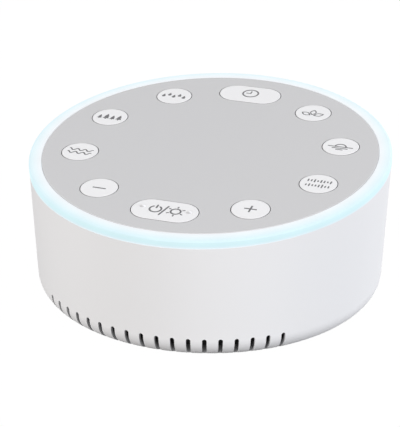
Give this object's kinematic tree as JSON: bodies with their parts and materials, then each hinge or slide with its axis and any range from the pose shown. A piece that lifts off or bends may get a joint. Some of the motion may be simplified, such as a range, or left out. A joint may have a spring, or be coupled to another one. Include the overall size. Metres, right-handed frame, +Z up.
{
  "type": "white noise sound machine",
  "caption": "Round tabletop white noise sound machine with a sloping key panel inside a glowing ring, a downward speaker and sound slots in the front lower edge.",
  "frame": {"origin": "middle of the footprint on the table, under the middle of the key panel", "axes": "+Z up, -Y toward the front where the power key and the sound slots are, +X to the right seen from the front"},
  "size_m": [0.1246, 0.1243, 0.0568],
  "materials": {
    "shell_white": "satin moulded",
    "ring_glow": "frosted, lit from below",
    "panel_grey": "satin",
    "key_white": "satin",
    "inner_white": "moulded",
    "mesh_dark": "woven",
    "circuit_board": "solder mask",
    "lamp_white": "clear",
    "screw_steel": "zinc plated",
    "stamped_steel": "zinc plated",
    "foam_black": "foam",
    "magnet_grey": "sintered ferrite",
    "cone_paper": "pressed pulp",
    "rubber_black": "matte",
    "coil_copper": "enamelled wire",
    "spider_cloth": "impregnated",
    "terminal_brown": "phenolic",
    "lead_red": "insulated wire",
    "chip_black": "moulded",
    "capacitor_blue": "sleeved",
    "plug_cream": "moulded",
    "ribbon_grey": "flat cable",
    "dark_plastic": "moulded",
    "socket_pin": "nickel plated"
  },
  "bodies": {
    "housing": {"body_shell": "shell_white", "light_ring": "ring_glow", "top_panel": "panel_grey", "panel_screws": "screw_steel", "key_frame": "inner_white", "dust_mesh": "mesh_dark", "switch_housings": "stamped_steel", "key_board": "circuit_board", "board_screws": "screw_steel", "ring_leds": "lamp_white", "speaker_baffle": "inner_white", "baffle_screws": "screw_steel", "speaker_gasket": "foam_black", "speaker_basket": "stamped_steel", "speaker_screws": "screw_steel", "speaker_magnet": "magnet_grey", "speaker_plates": "stamped_steel", "speaker_cone": "cone_paper", "speaker_surround": "rubber_black", "speaker_dust_cap": "cone_paper", "speaker_coil": "coil_copper", "speaker_spider": "spider_cloth", "speaker_terminals": "terminal_brown", "speaker_leads": "lead_red", "main_board": "circuit_board", "main_board_screws": "screw_steel", "main_chips": "chip_black", "main_capacitors": "capacitor_blue", "cable_plugs": "plug_cream", "ribbon_cable": "ribbon_grey", "power_socket": "dark_plastic", "power_socket_pin": "socket_pin", "base_plate": "shell_white", "base_screws": "screw_steel", "feet": "rubber_black"},
    "power": {"power_key": "key_white", "power_plunger": "dark_plastic"},
    "plus": {"plus_key": "key_white", "plus_plunger": "dark_plastic"},
    "noise": {"noise_key": "key_white", "noise_plunger": "dark_plastic"},
    "calm": {"calm_key": "key_white", "calm_plunger": "dark_plastic"},
    "relax": {"relax_key": "key_white", "relax_plunger": "dark_plastic"},
    "timer": {"timer_key": "key_white", "timer_plunger": "dark_plastic"},
    "rain": {"rain_key": "key_white", "rain_plunger": "dark_plastic"},
    "forest": {"forest_key": "key_white", "forest_plunger": "dark_plastic"},
    "ocean": {"ocean_key": "key_white", "ocean_plunger": "dark_plastic"},
    "minus": {"minus_key": "key_white", "minus_plunger": "dark_plastic"}
  },
  "joints": [
    {"name": "power_press", "type": "slide", "parent": "housing", "child": "power", "axis": [0, 0.1002, -0.995], "range_m": [0, 0.0005], "stiffness_N_per_m": 2400},
    {"name": "plus_press", "type": "slide", "parent": "housing", "child": "plus", "axis": [0, 0.1002, -0.995], "range_m": [0, 0.0005], "stiffness_N_per_m": 2400},
    {"name": "noise_press", "type": "slide", "parent": "housing", "child": "noise", "axis": [0, 0.1002, -0.995], "range_m": [0, 0.0005], "stiffness_N_per_m": 2400},
    {"name": "calm_press", "type": "slide", "parent": "housing", "child": "calm", "axis": [0, 0.1002, -0.995], "range_m": [0, 0.0005], "stiffness_N_per_m": 2400},
    {"name": "relax_press", "type": "slide", "parent": "housing", "child": "relax", "axis": [0, 0.1002, -0.995], "range_m": [0, 0.0005], "stiffness_N_per_m": 2400},
    {"name": "timer_press", "type": "slide", "parent": "housing", "child": "timer", "axis": [0, 0.1002, -0.995], "range_m": [0, 0.0005], "stiffness_N_per_m": 2400},
    {"name": "rain_press", "type": "slide", "parent": "housing", "child": "rain", "axis": [0, 0.1002, -0.995], "range_m": [0, 0.0005], "stiffness_N_per_m": 2400},
    {"name": "forest_press", "type": "slide", "parent": "housing", "child": "forest", "axis": [0, 0.1002, -0.995], "range_m": [0, 0.0005], "stiffness_N_per_m": 2400},
    {"name": "ocean_press", "type": "slide", "parent": "housing", "child": "ocean", "axis": [0, 0.1002, -0.995], "range_m": [0, 0.0005], "stiffness_N_per_m": 2400},
    {"name": "minus_press", "type": "slide", "parent": "housing", "child": "minus", "axis": [0, 0.1002, -0.995], "range_m": [0, 0.0005], "stiffness_N_per_m": 2400}
  ]
}
